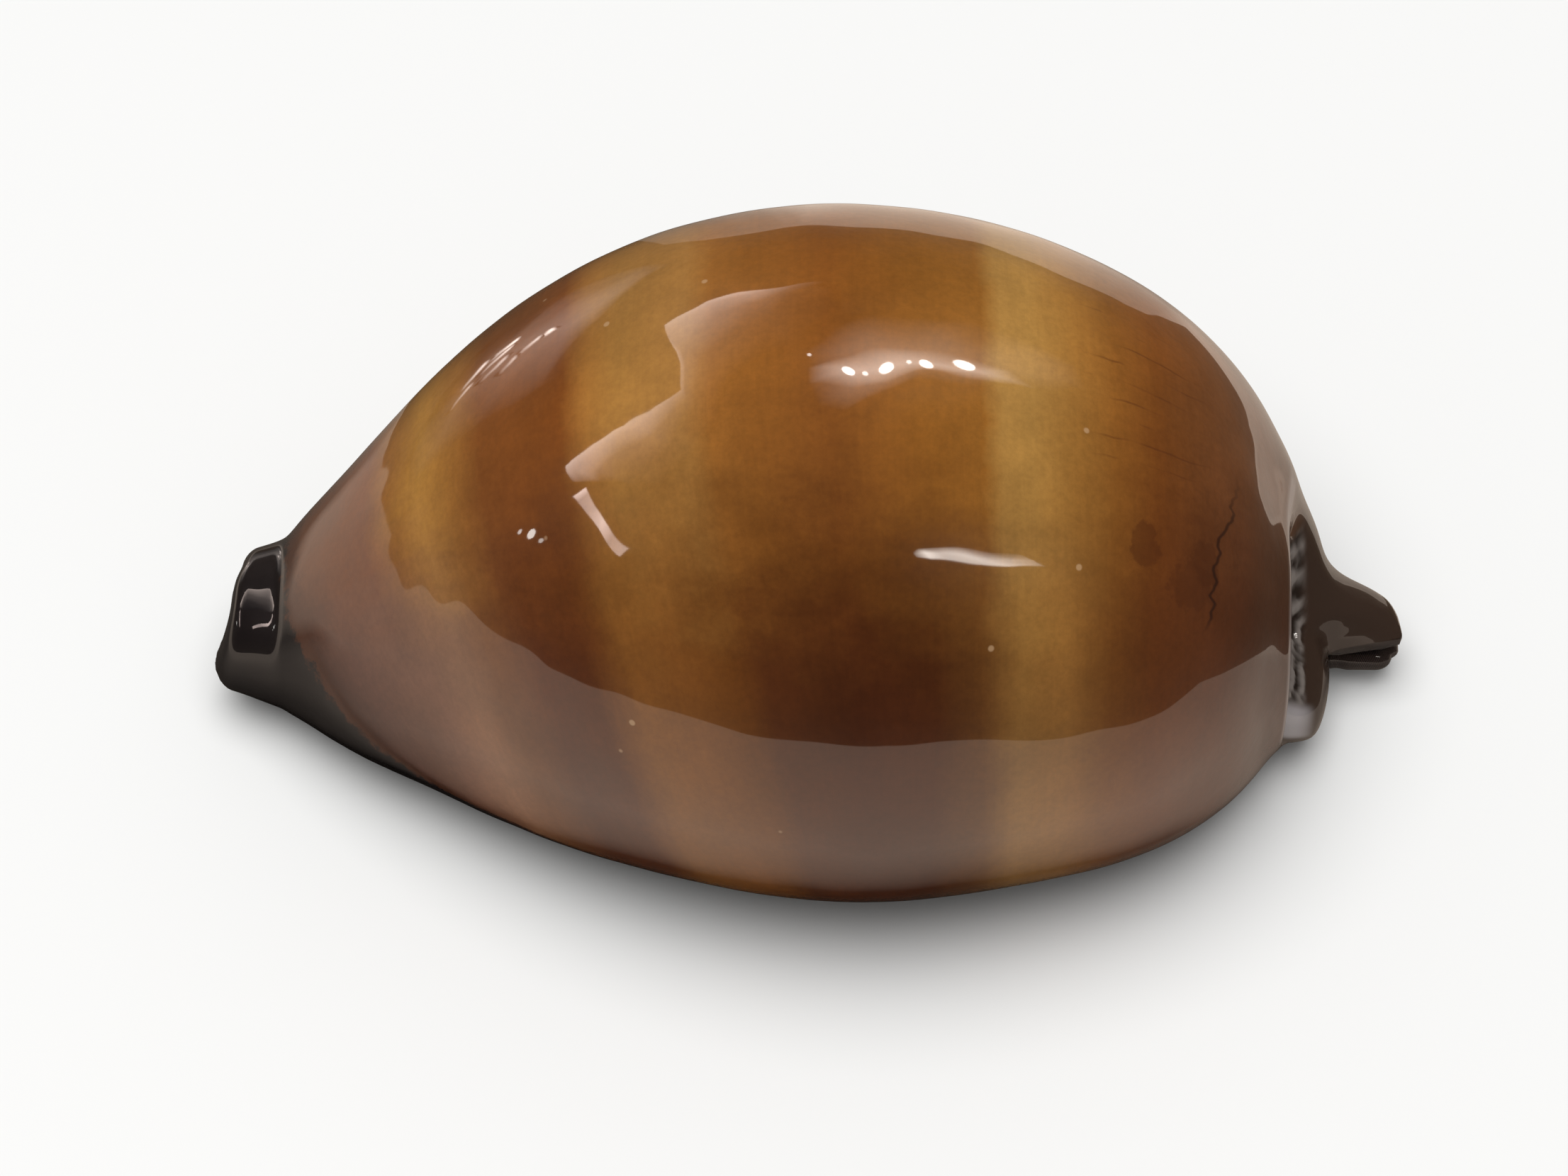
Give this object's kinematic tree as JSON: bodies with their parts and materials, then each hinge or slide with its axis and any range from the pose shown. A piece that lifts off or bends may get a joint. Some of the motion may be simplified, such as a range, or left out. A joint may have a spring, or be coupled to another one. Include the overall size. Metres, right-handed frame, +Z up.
{
  "type": "cowrie shell",
  "caption": "Glossy humped cowrie shell with a long toothed slit between two rolled lips on its flat base, a black snout at one end and a beaked notch at the other.",
  "frame": {"origin": "on the ground, under the middle of the bounding box", "axes": "+Z up with the shell on its base, +X along the shell to its beaked spire end and -X to its dark snout, +Y to the outer lip's side and -Y to the columella's side"},
  "size_m": [0.0749, 0.0429, 0.0366],
  "materials": {
    "shell": "glossy enamel, banded brown and tan with near-black ends and margins"
  },
  "bodies": {
    "root": {"shell": "shell"}
  },
  "joints": []
}
